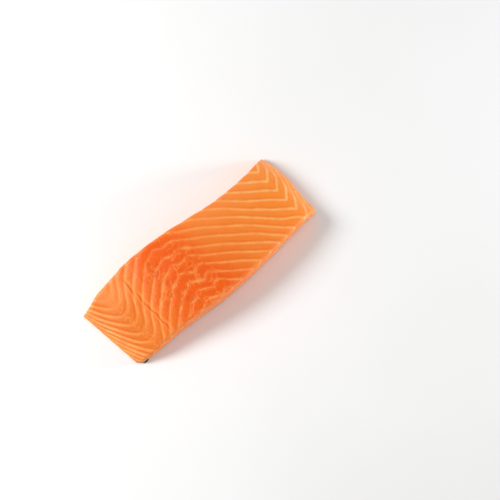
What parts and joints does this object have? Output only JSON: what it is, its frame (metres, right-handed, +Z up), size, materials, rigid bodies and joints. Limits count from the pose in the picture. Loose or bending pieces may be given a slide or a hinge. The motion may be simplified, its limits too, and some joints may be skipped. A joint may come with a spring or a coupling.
{
  "type": "raw salmon portion",
  "caption": "Raw skin-on fish fillet portion, skin side down: long slab, thin belly end and thick rounded back end, fine zigzag fat lines between the flakes, cleft near the belly.",
  "frame": {"origin": "centre of the bounding box in plan, on the flat underside of the skin", "axes": "+X along the portion from the thin belly end to the thick back end, +Y across it to the waisted cut face, +Z up"},
  "size_m": [0.1804, 0.067, 0.0272],
  "materials": {
    "salmon_flesh": "moist orange raw flesh with pale fat lines",
    "salmon_skin": "wet scaled skin, silver at the belly and dark at the back"
  },
  "bodies": {
    "root": {"flesh": "salmon_flesh", "skin": "salmon_skin"}
  },
  "joints": []
}
